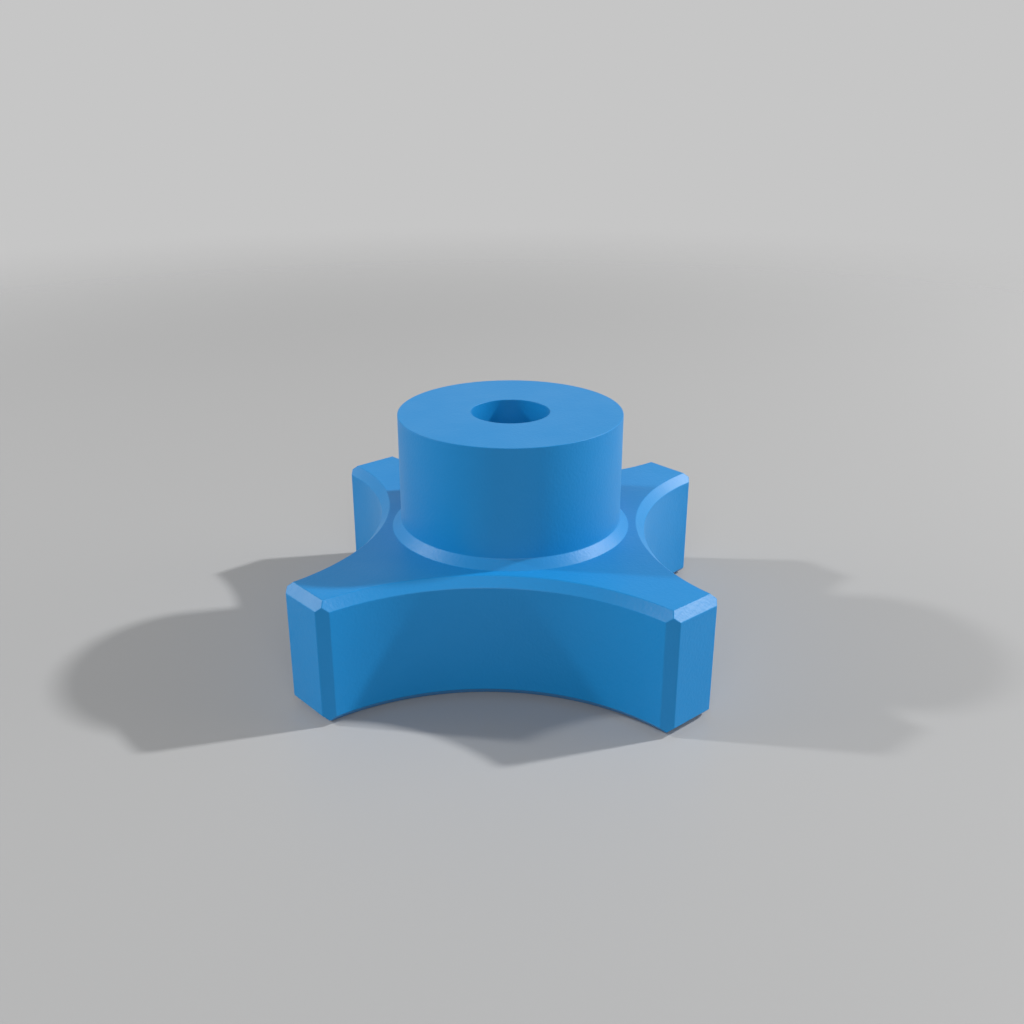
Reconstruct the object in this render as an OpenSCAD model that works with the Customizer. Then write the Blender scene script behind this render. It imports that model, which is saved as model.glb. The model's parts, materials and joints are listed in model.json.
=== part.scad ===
// Mower deck knob: one piece of plastic with four arms, a round hub and a plain bore.
// Fingers lie in the round hollows between the arms. The knob stands on its flat palm
// face, hub up, with the origin on its axis at that face, in millimetres. The part was
// laid out in inches, so the sizes here are round hundredths of an inch.

/* [Arms] */
// Distance across the ends of two opposite arms
arm_span = 57.15; // [54:0.05:80]
// Width of an arm at its end, before its corners are cut
arm_end_w = 7.62; // [6:0.01:12]
// Thickness of the arms, from the palm face to the hub side
arm_h = 14.224; // [6:0.001:20]
// Width and depth of the 45 degree cut along every edge of the arms
arm_cut = 1.016; // [0.2:0.001:1.4]

/* [Hub] */
// Diameter of the hub
hub_d = 25.4; // [14:0.05:27]
// Height of the hub above the arms
hub_h = 13.462; // [4:0.001:30]
// Width and height of the 45 degree collar round the hub's foot
hub_foot = 1.016; // [0.2:0.001:1.8]

/* [Bore] */
// Diameter of the plain bore through the knob, which clears an 8 mm stud
bore_d = 8.89; // [5:0.01:12]

/* [Hidden] */
$fn = 180;

past = 1;                               // how far a cutter runs past the face it cuts
half_span = arm_span / 2;
half_end = arm_end_w / 2;
hub_r = hub_d / 2;
total_h = arm_h + hub_h;

// Each hollow is centred on a corner of the square round the arms and starts at the
// arm's end, so its wall meets the flat end squarely and the arm flares from there
hollow_r = half_span - half_end;

// Where the planes that cut the arms' upright corners cross the X and Y axes
corner_reach = half_span + half_end - arm_cut;

// A square slab as thick as the arms, with two opposite sides cut back at both faces
module slab() {
    rotate([90, 0, 0])
        linear_extrude(arm_span, center = true)
            polygon([
                [arm_cut - half_span, 0],
                [half_span - arm_cut, 0],
                [half_span, arm_cut],
                [half_span, arm_h - arm_cut],
                [half_span - arm_cut, arm_h],
                [arm_cut - half_span, arm_h],
                [-half_span, arm_h - arm_cut],
                [-half_span, arm_cut]
            ]);
}

// The square turned by 45 degrees whose sides cut the arms' eight upright corners
module corner_square() {
    side = corner_reach * sqrt(2);
    rotate([0, 0, 45])
        translate([-side / 2, -side / 2, -past])
            cube([side, side, arm_h + 2 * past]);
}

// What one finger hollow takes away: a cylinder that opens at 45 degrees at both faces
module hollow() {
    mouth_r = hollow_r + arm_cut + past;
    rotate_extrude()
        polygon([
            [0, -past],
            [mouth_r, -past],
            [hollow_r, arm_cut],
            [hollow_r, arm_h - arm_cut],
            [mouth_r, arm_h + past],
            [0, arm_h + past]
        ]);
}

// The four arms, with every edge cut and the edge cuts mitred where they meet
module arms() {
    difference() {
        intersection() {
            slab();
            rotate([0, 0, 90]) slab();
            corner_square();
        }
        for (x = [-half_span, half_span], y = [-half_span, half_span])
            translate([x, y, 0]) hollow();
    }
}

// The hub and the collar round its foot, rooted inside the arms
module hub() {
    rotate_extrude()
        polygon([
            [0, arm_h - past],
            [hub_r + hub_foot, arm_h - past],
            [hub_r + hub_foot, arm_h],
            [hub_r, arm_h + hub_foot],
            [hub_r, total_h],
            [0, total_h]
        ]);
}

// The whole knob, which is one solid
module knob() {
    color("#2079b8")
        difference() {
            union() {
                arms();
                hub();
            }
            translate([0, 0, -past])
                cylinder(h = total_h + 2 * past, d = bore_d);
        }
}

knob();
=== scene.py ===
import json
import math

import bpy
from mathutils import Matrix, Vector


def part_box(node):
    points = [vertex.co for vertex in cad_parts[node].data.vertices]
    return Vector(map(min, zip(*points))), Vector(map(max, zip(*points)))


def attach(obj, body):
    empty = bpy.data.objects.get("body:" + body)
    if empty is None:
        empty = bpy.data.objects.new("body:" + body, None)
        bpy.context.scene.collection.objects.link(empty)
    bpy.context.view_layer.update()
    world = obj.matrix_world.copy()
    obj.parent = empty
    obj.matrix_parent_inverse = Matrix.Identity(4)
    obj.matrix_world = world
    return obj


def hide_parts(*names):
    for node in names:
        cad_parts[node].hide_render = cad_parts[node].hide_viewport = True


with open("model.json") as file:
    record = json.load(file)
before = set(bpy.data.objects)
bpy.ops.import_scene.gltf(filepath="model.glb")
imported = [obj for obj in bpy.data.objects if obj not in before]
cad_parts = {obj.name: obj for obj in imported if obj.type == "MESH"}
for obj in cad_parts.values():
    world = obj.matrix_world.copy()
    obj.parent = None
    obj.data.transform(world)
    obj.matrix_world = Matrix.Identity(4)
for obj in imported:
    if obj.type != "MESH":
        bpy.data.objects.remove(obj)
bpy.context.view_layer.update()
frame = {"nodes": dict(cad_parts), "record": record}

# Mower deck knob, finished for the camera: one moulding in blue plastic on a pale table.
# Lengths are in metres; mm turns the millimetre sizes below into them.
mm = 0.001


def linear(hexColour):
    # an sRGB hex colour as the linear, opaque colour that a socket takes
    parts = [int(hexColour[k:k + 2], 16) / 255 for k in (1, 3, 5)]
    red, green, blue = [c / 12.92 if c <= 0.04045 else ((c + 0.055) / 1.055) ** 2.4 for c in parts]
    return red, green, blue, 1.0


def addNode(tree, kind, settings=None, sockets=None):
    # adds a node, sets its properties, and links or fills its input sockets
    node = tree.nodes.new(kind)
    for name, value in (settings or {}).items():
        setattr(node, name, value)
    for key, value in (sockets or {}).items():
        if isinstance(value, bpy.types.NodeSocket):
            tree.links.new(value, node.inputs[key])
        else:
            node.inputs[key].default_value = value
    return node


def newMaterial(name):
    material = bpy.data.materials.new(name)
    material.use_nodes = True
    material.node_tree.nodes.clear()
    return material, material.node_tree


# Plastic

plastic = {
    "colour": "#0681c2",
    "deepColour": "#067dbd",           # where the pigment lies a touch thicker
    "roughness": (0.44, 0.51),         # a satin mould texture, a little glossier in places
    "ior": 1.44,                       # matched to the object; 1.54 is usual
    "bloom": (0.05, 0.40),             # weight and roughness of the pale veil seen at a low angle
    # noise patterns: the width of a grain, the levels of finer grain, and how strong those are
    "mottle": (9 * mm, 3.0, 0.5),      # the broad changes of colour and gloss
    "skin": (1.6 * mm, 1.0, 0.4),      # the faint waves that the skin of a thick moulding has
    "pits": (0.32 * mm, 1.0, 0.5),     # spark pits, drawn coarser than the real 0.1 mm to show
    "mottleRange": (0.35, 0.65),       # the noise values from the glossiest place to the dullest
    "skinDepth": 0.012 * mm,
    "pitDepth": 0.02 * mm,
}


def mouldedAbs(look):
    # ABS moulded in a spark-eroded tool: an even, saturated blue, a broad satin highlight that
    # fine pits break up close by, and a skin that waves a little
    material, tree = newMaterial("moulded_abs_satin")
    place = addNode(tree, "ShaderNodeTexCoord").outputs["Object"]
    noise = {}
    for pattern in ("mottle", "skin", "pits"):
        width, levels, strength = look[pattern]
        node = addNode(tree, "ShaderNodeTexNoise", {},
                       {"Vector": place, "Scale": 1 / width, "Detail": levels, "Roughness": strength})
        noise[pattern] = node.outputs[0]
    glossiest, dullest = look["roughness"]
    noiseLow, noiseHigh = look["mottleRange"]
    roughness = addNode(tree, "ShaderNodeMapRange", {},
                        {"Value": noise["mottle"], "From Min": noiseLow, "From Max": noiseHigh,
                         "To Min": glossiest, "To Max": dullest})
    # in a Mix node, input 0 is the factor, 6 and 7 are the colours, and output 2 is their mix
    colour = addNode(tree, "ShaderNodeMix", {"data_type": "RGBA"},
                     {0: noise["mottle"], 6: linear(look["colour"]), 7: linear(look["deepColour"])})
    waves = addNode(tree, "ShaderNodeBump", {},
                    {"Height": noise["skin"], "Distance": look["skinDepth"], "Strength": 1.0})
    bumps = addNode(tree, "ShaderNodeBump", {},
                    {"Height": noise["pits"], "Distance": look["pitDepth"], "Strength": 1.0,
                     "Normal": waves.outputs[0]})
    veil, veilRoughness = look["bloom"]
    shader = addNode(tree, "ShaderNodeBsdfPrincipled", {},
                     {"Base Color": colour.outputs[2], "Roughness": roughness.outputs[0],
                      "IOR": look["ior"], "Normal": bumps.outputs[0],
                      "Sheen Weight": veil, "Sheen Roughness": veilRoughness})
    addNode(tree, "ShaderNodeOutputMaterial", {}, {"Surface": shader.outputs[0]})
    return material


blueAbs = mouldedAbs(plastic)
print("plastic made:", blueAbs.name)


# Knob

boreMount = next(m for m in frame["record"]["mounts"] if m["name"] == "bore")
lowest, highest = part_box("knob")
knobSizes = {
    "shape": {                              # the inputs of its node tree
        "Arm Span": highest.x - lowest.x,
        "Arm End Width": 7.62 * mm,
        "Arm Thickness": 14.224 * mm,
        "Edge Cut": 1.016 * mm,             # 45 degree cut along every edge of the arms
        "Hub Diameter": 25.4 * mm,
        "Height": highest.z - lowest.z,
        "Collar": 1.016 * mm,               # 45 degree collar at the hub's foot
        "Bore Diameter": 2 * boreMount["dims"]["r_mm"] * mm,
        "Steps Across Half End": 3,
        "Steps Across Corner": 1,
        "Steps Along Half Hollow": 40,
        "Weld Distance": 0.001 * mm,        # corners closer than this become one
    },
    "easing": 0.08 * mm,                    # how far the mould's edges are eased
    "easingSteps": 3,
    "easingAngle": 25,                      # degrees between the faces from which an edge is eased
}

# from the bore round the outside and back: the outline's inset, the height, and the radius that
# makes the ring round; a round ring's inset sets only the directions that its columns lie in
rings = [
    ("Edge Cut", 0.0, "bore radius"),
    ("Edge Cut", 0.0, 0.0),
    ("point inset", "low point", 0.0),
    (0.0, "Edge Cut", 0.0),
    (0.0, "upper cut", 0.0),
    ("point inset", "high point", 0.0),
    ("Edge Cut", "Arm Thickness", 0.0),
    ("Edge Cut", "Arm Thickness", "collar radius"),
    ("Edge Cut", "collar top", "hub radius"),
    ("Edge Cut", "Height", "hub radius"),
    ("Edge Cut", "Height", "bore radius"),
    ("Edge Cut", 0.0, "bore radius"),       # the first ring again, which closes the bore's wall
]

formulas = [  # a result, what is done, and the one or two values that it is done to
    ("half span", "MULTIPLY", "Arm Span", 0.5),
    ("half end", "MULTIPLY", "Arm End Width", 0.5),
    ("hub radius", "MULTIPLY", "Hub Diameter", 0.5),
    ("collar radius", "ADD", "hub radius", "Collar"),
    ("bore radius", "MULTIPLY", "Bore Diameter", 0.5),
    ("hollow radius", "SUBTRACT", "half span", "half end"),
    ("upper cut", "SUBTRACT", "Arm Thickness", "Edge Cut"),
    ("collar top", "ADD", "Arm Thickness", "Collar"),
    # where the corner cut runs out to a point, about halfway across the edge cuts
    ("cut radius", "ADD", "hollow radius", "Edge Cut"),
    ("double radius", "MULTIPLY", "hollow radius", 2.0),
    ("radius sum", "ADD", "hollow radius", "cut radius"),
    ("radius product", "MULTIPLY", "radius sum", "double radius"),
    ("radius mean", "SQRT", "radius product"),
    ("point inset", "SUBTRACT", "radius sum", "radius mean"),
    ("low point", "SUBTRACT", "Edge Cut", "point inset"),
    ("high point", "SUBTRACT", "Arm Thickness", "low point"),
    # how many columns there are, and the row and the column that a grid point is in
    ("half quarter", "ADD", "Steps Across Half End", "Steps Across Corner"),
    ("half quarter steps", "ADD", "half quarter", "Steps Along Half Hollow"),
    ("quarter steps", "MULTIPLY", "half quarter steps", 2.0),
    ("columns", "MULTIPLY", "quarter steps", 4.0),
    ("half columns", "MULTIPLY", "columns", 0.5),
    ("column corners", "ADD", "columns", 1.0),
    ("raw row", "ADD", "grid y", (len(rings) - 1) / 2),
    ("row", "ROUND", "raw row"),
    ("raw column", "ADD", "grid x", "half columns"),
    ("column", "ROUND", "raw column"),
    # the column's place in its quarter, folded about the middle of the hollow
    ("step", "MODULO", "column", "quarter steps"),
    ("quarters", "DIVIDE", "column", "quarter steps"),
    ("quarter", "FLOOR", "quarters"),
    ("turn", "MULTIPLY", "quarter", math.pi / 2),
    ("steps left", "SUBTRACT", "quarter steps", "step"),
    ("folded step", "MINIMUM", "step", "steps left"),
    ("mirrored", "GREATER_THAN", "step", "half quarter steps"),
    # how far it is along the end face, the corner cut and the hollow, each from 0 to 1
    ("along end", "DIVIDE_CLAMPED", "folded step", "Steps Across Half End"),
    ("past end", "SUBTRACT", "folded step", "Steps Across Half End"),
    ("along corner", "DIVIDE_CLAMPED", "past end", "Steps Across Corner"),
    ("past corner", "SUBTRACT", "folded step", "half quarter"),
    ("along hollow", "DIVIDE_CLAMPED", "past corner", "Steps Along Half Hollow"),
    # the hollow is an arc about the corner of the square round the arms; it starts at the
    # corner cut, or at the end face where the row is above or below that cut
    ("arc radius", "ADD", "hollow radius", "inset"),
    ("end share", "DIVIDE", "inset", "arc radius"),
    ("end angle", "ARCCOSINE", "end share"),
    ("cut ratio", "DIVIDE", "cut radius", "arc radius"),
    ("cut share", "MULTIPLY", "cut ratio", math.sqrt(0.5)),
    ("cut lean", "ARCCOSINE", "cut share"),
    ("cut angle", "ADD", "cut lean", math.pi / 4),
    ("start angle", "MINIMUM", "end angle", "cut angle"),
    ("start cosine", "COSINE", "start angle"),
    ("start sine", "SINE", "start angle"),
    ("start across", "MULTIPLY", "arc radius", "start cosine"),
    ("start down", "MULTIPLY", "arc radius", "start sine"),
    ("start x", "SUBTRACT", "half span", "start across"),
    ("start y", "SUBTRACT", "half span", "start down"),
    # the end face's place and half width in this row
    ("end x", "SUBTRACT", "half span", "inset"),
    ("end sine", "SINE", "end angle"),
    ("end drop", "MULTIPLY", "arc radius", "end sine"),
    ("end corner", "SUBTRACT", "half span", "end drop"),
    ("cut end", "SUBTRACT", "half end", "Edge Cut"),
    ("cut corner", "ADD", "cut end", "inset"),
    ("end half width", "MINIMUM", "end corner", "cut corner"),
    # how far along the arc the column is, measured from the arc's start
    ("angle to go", "SUBTRACT", math.pi / 4, "start angle"),
    ("angle gone", "MULTIPLY", "angle to go", "along hollow"),
    ("angle", "ADD", "start angle", "angle gone"),
    ("arc cosine", "COSINE", "angle"),
    ("arc sine", "SINE", "angle"),
    ("arc across", "MULTIPLY", "arc radius", "arc cosine"),
    ("arc down", "MULTIPLY", "arc radius", "arc sine"),
    ("arc x", "SUBTRACT", "start across", "arc across"),
    ("arc y", "SUBTRACT", "start down", "arc down"),
    # the end face, the corner cut and the arc, one after the other
    ("corner run", "SUBTRACT", "start x", "end x"),
    ("corner gone x", "MULTIPLY", "corner run", "along corner"),
    ("x to corner", "ADD", "end x", "corner gone x"),
    ("x", "ADD", "x to corner", "arc x"),
    ("end gone", "MULTIPLY", "end half width", "along end"),
    ("corner rise", "SUBTRACT", "start y", "end half width"),
    ("corner gone y", "MULTIPLY", "corner rise", "along corner"),
    ("y to corner", "ADD", "end gone", "corner gone y"),
    ("y", "ADD", "y to corner", "arc y"),
    # past the middle of the hollow x and y change places
    ("y less x", "SUBTRACT", "y", "x"),
    ("swap", "MULTIPLY", "y less x", "mirrored"),
    ("x swapped", "ADD", "x", "swap"),
    ("y swapped", "SUBTRACT", "y", "swap"),
    # a round ring keeps the column's direction and takes its own radius
    ("x squared", "MULTIPLY", "x", "x"),
    ("y squared", "MULTIPLY", "y", "y"),
    ("square sum", "ADD", "x squared", "y squared"),
    ("reach", "SQRT", "square sum"),
    ("round scale", "DIVIDE", "round radius", "reach"),
    ("is round", "GREATER_THAN", "round radius", 0.0),
    ("scale change", "SUBTRACT", "round scale", 1.0),
    ("scale added", "MULTIPLY", "scale change", "is round"),
    ("scale", "ADD", "scale added", 1.0),
    ("x placed", "MULTIPLY", "x swapped", "scale"),
    ("y placed", "MULTIPLY", "y swapped", "scale"),
]


def knobTree(shape):
    # The knob is one grid bent round its axis. Each column is a place round the outline, and
    # each row is a ring: the bore, the palm face, the arms' side, their top, the collar, the hub.
    tree = bpy.data.node_groups.new("knobFromSizes", "GeometryNodeTree")
    for name, value in shape.items():
        kind = "NodeSocketInt" if isinstance(value, int) else "NodeSocketFloat"
        tree.interface.new_socket(name, in_out="INPUT", socket_type=kind)
    tree.interface.new_socket("Material", in_out="INPUT", socket_type="NodeSocketMaterial")
    tree.interface.new_socket("Geometry", in_out="OUTPUT", socket_type="NodeSocketGeometry")

    # what the formulas start from: the sizes, the grid point's place and its ring's three values
    given = addNode(tree, "NodeGroupInput")
    made = {name: given.outputs[name] for name in shape}
    where = addNode(tree, "ShaderNodeSeparateXYZ", {},
                    {0: addNode(tree, "GeometryNodeInputPosition").outputs[0]})
    made["grid x"], made["grid y"] = where.outputs[0], where.outputs[1]
    choices = []
    for name in ("inset", "height", "round radius"):
        choice = addNode(tree, "GeometryNodeIndexSwitch", {"data_type": "FLOAT", "label": name})
        while len(choice.index_switch_items) < len(rings):
            choice.index_switch_items.new()
        made[name] = choice.outputs[0]
        choices.append(choice)

    for result, operation, *values in formulas:
        settings = {"operation": operation.replace("_CLAMPED", ""), "label": result,
                    "use_clamp": operation.endswith("_CLAMPED")}
        node = addNode(tree, "ShaderNodeMath", settings,
                       {k: made.get(value, value) for k, value in enumerate(values)})
        made[result] = node.outputs[0]

    for k, choice in enumerate(choices):
        tree.links.new(made["row"], choice.inputs["Index"])
        for number, ring in enumerate(rings):
            socket = choice.inputs[1 + number]
            if ring[k] in made:
                tree.links.new(made[ring[k]], socket)
            else:
                socket.default_value = ring[k]

    grid = addNode(tree, "GeometryNodeMeshGrid", {},
                   {"Size X": made["columns"], "Size Y": float(len(rings) - 1),
                    "Vertices X": made["column corners"], "Vertices Y": len(rings)})
    point = addNode(tree, "ShaderNodeCombineXYZ", {},
                    {0: made["x placed"], 1: made["y placed"], 2: made["height"]})
    turned = addNode(tree, "ShaderNodeVectorRotate", {"rotation_type": "Z_AXIS"},
                     {"Vector": point.outputs[0], "Angle": made["turn"]})
    bent = addNode(tree, "GeometryNodeSetPosition", {},
                   {"Geometry": grid.outputs["Mesh"], "Position": turned.outputs[0]})
    joined = addNode(tree, "GeometryNodeMergeByDistance", {},
                     {"Geometry": bent.outputs[0], "Distance": made["Weld Distance"]})
    smooth = addNode(tree, "GeometryNodeSetShadeSmooth", {}, {"Geometry": joined.outputs[0]})
    real = addNode(tree, "GeometryNodeRealizeInstances", {}, {"Geometry": smooth.outputs[0]})
    painted = addNode(tree, "GeometryNodeSetMaterial", {},
                      {"Geometry": real.outputs[0], "Material": given.outputs["Material"]})
    addNode(tree, "NodeGroupOutput", {}, {"Geometry": painted.outputs[0]})
    return tree


def makeKnob(sizes, material):
    tree = knobTree(sizes["shape"])
    maker = bpy.data.objects.new("knobMaker", bpy.data.meshes.new("knobMaker"))
    bpy.context.scene.collection.objects.link(maker)
    modifier = maker.modifiers.new("knobFromSizes", "NODES")
    modifier.node_group = tree
    values = {**sizes["shape"], "Material": material}
    for socket in tree.interface.items_tree:
        if socket.in_out == "INPUT":
            modifier[socket.identifier] = values[socket.name]
    bpy.context.view_layer.update()
    evaluated = maker.evaluated_get(bpy.context.evaluated_depsgraph_get())
    mesh = bpy.data.meshes.new_from_object(evaluated)
    bpy.data.objects.remove(maker)
    mesh.name = "knob_moulding"
    piece = bpy.data.objects.new("knob_moulding", mesh)
    bpy.context.scene.collection.objects.link(piece)
    eased = piece.modifiers.new("easedEdges", "BEVEL")
    eased.width = sizes["easing"]
    eased.segments = sizes["easingSteps"]
    eased.limit_method = "ANGLE"
    eased.angle_limit = math.radians(sizes["easingAngle"])
    eased.harden_normals = True
    return piece


knob = makeKnob(knobSizes, blueAbs)
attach(knob, "root")
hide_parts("knob")
# the CAD node is hidden, but takes the same plastic, for wherever it is shown
frame["nodes"]["knob"].data.materials.clear()
frame["nodes"]["knob"].data.materials.append(blueAbs)
print("knob made:", len(knob.data.vertices), "corners,", len(knob.data.polygons), "faces")


# Table

table = {
    "colour": "#a8a8a8",
    "roughness": 0.45,
    "ior": 1.35,                        # a low one, so that the softboxes' glare stays below white
    "radius": 0.40,
    "corners": 128,
    "fade": (0.14, 0.34),               # metres from the axis where it fades into the backdrop
}


def paleTable(look):
    # satin laminate: an even pale grey that keeps a soft shadow and a veil of the knob's blue
    material, tree = newMaterial("pale_satin_laminate")
    place = addNode(tree, "ShaderNodeTexCoord").outputs["Object"]
    away = addNode(tree, "ShaderNodeVectorMath", {"operation": "LENGTH"}, {0: place})
    near, far = look["fade"]
    share = addNode(tree, "ShaderNodeMapRange", {"interpolation_type": "SMOOTHSTEP"},
                    {"Value": away.outputs["Value"], "From Min": near, "From Max": far})
    laminate = addNode(tree, "ShaderNodeBsdfPrincipled", {},
                       {"Base Color": linear(look["colour"]), "Roughness": look["roughness"],
                        "IOR": look["ior"]})
    gone = addNode(tree, "ShaderNodeBsdfTransparent")
    mixed = addNode(tree, "ShaderNodeMixShader", {},
                    {0: share.outputs[0], 1: laminate.outputs[0], 2: gone.outputs[0]})
    addNode(tree, "ShaderNodeOutputMaterial", {}, {"Surface": mixed.outputs[0]})
    return material


bpy.ops.mesh.primitive_circle_add(vertices=table["corners"], radius=table["radius"], fill_type="NGON")
floor = bpy.context.object
floor.name = "table"
floor.data.materials.append(paleTable(table))
print("table made:", len(floor.data.vertices), "corners")


# Light

studio = {
    "roomLight": 0.12,                  # strength of the even light from all round
    "backdrop": "#c6c6c6",
    "aim": Vector((0, 0, 12 * mm)),     # the place on the knob's axis that every softbox faces
    # name, azimuth and elevation in degrees, distance and width in metres, watts, and whether
    # reflections show it
    "softboxes": [
        ("keyRight", -27.7, 37.0, 0.60, 0.03, 3.25, True),
        ("fillLeft", 132.5, 33.0, 0.60, 0.04, 1.60, True),
        ("frontWide", -131.3, 32.0, 0.60, 0.50, 1.65, True),
        # low and wide, for the upright faces; they leave no glare on the table
        ("sideRight", -41.3, 10.0, 0.60, 0.40, 0.90, False),
        ("sideLeft", 138.7, 10.0, 0.60, 0.40, 0.85, False),
    ],
}


def studioWorld(light):
    # the even light of the room; a look into it, straight, in a reflection or through something
    # clear, shows the backdrop
    world = bpy.data.worlds.new("studio")
    world.use_nodes = True
    tree = world.node_tree
    tree.nodes.clear()
    room = addNode(tree, "ShaderNodeBackground", {},
                   {"Color": (1, 1, 1, 1), "Strength": light["roomLight"]})
    backdrop = addNode(tree, "ShaderNodeBackground", {},
                       {"Color": linear(light["backdrop"]), "Strength": 1.0})
    ray = addNode(tree, "ShaderNodeLightPath").outputs
    seen = addNode(tree, "ShaderNodeMath", {"operation": "MAXIMUM"},
                   {0: ray["Is Camera Ray"], 1: ray["Is Glossy Ray"]})
    looks = addNode(tree, "ShaderNodeMath", {"operation": "MAXIMUM"},
                    {0: seen.outputs[0], 1: ray["Is Transmission Ray"]})
    chosen = addNode(tree, "ShaderNodeMixShader", {},
                     {0: looks.outputs[0], 1: room.outputs[0], 2: backdrop.outputs[0]})
    addNode(tree, "ShaderNodeOutputWorld", {}, {"Surface": chosen.outputs[0]})
    return world


def hangSoftbox(aim, name, azimuth, elevation, distance, width, watts, mirrored):
    around = math.radians(azimuth)
    up = math.radians(elevation)
    away = Vector((math.cos(around) * math.cos(up), math.sin(around) * math.cos(up), math.sin(up)))
    lamp = bpy.data.lights.new(name, "AREA")
    lamp.shape = "DISK"
    lamp.size = width
    lamp.energy = watts
    holder = bpy.data.objects.new(name, lamp)
    holder.location = aim + away * distance
    holder.rotation_euler = away.to_track_quat("Z", "Y").to_euler()
    holder.visible_camera = False
    holder.visible_glossy = mirrored
    bpy.context.scene.collection.objects.link(holder)


bpy.context.scene.world = studioWorld(studio)
for softbox in studio["softboxes"]:
    hangSoftbox(studio["aim"], *softbox)
print("light set:", len(studio["softboxes"]), "softboxes")


# Camera, at the photograph's place

camera = {
    "place": Vector((-0.079648, -0.090792, 0.065476)),
    "tilt": 22.525,                     # degrees below the horizon
    "turn": 41.343,                     # degrees from +Y towards +X
    "lens": 39.38,                      # the focal length and the sensor's width, in millimetres
    "sensor": 36,
    "clip": (0.005, 50),                # metres to the nearest and the farthest thing it sees
}
lens = bpy.data.cameras.new("camera")
lens.sensor_width = camera["sensor"]
lens.lens = camera["lens"]
lens.clip_start, lens.clip_end = camera["clip"]
eye = bpy.data.objects.new("camera", lens)
eye.location = camera["place"]
eye.rotation_euler = (math.radians(90 - camera["tilt"]), 0, -math.radians(camera["turn"]))
bpy.context.scene.collection.objects.link(eye)
bpy.context.scene.camera = eye
bpy.context.scene.view_settings.view_transform = "Standard"
print("camera set")
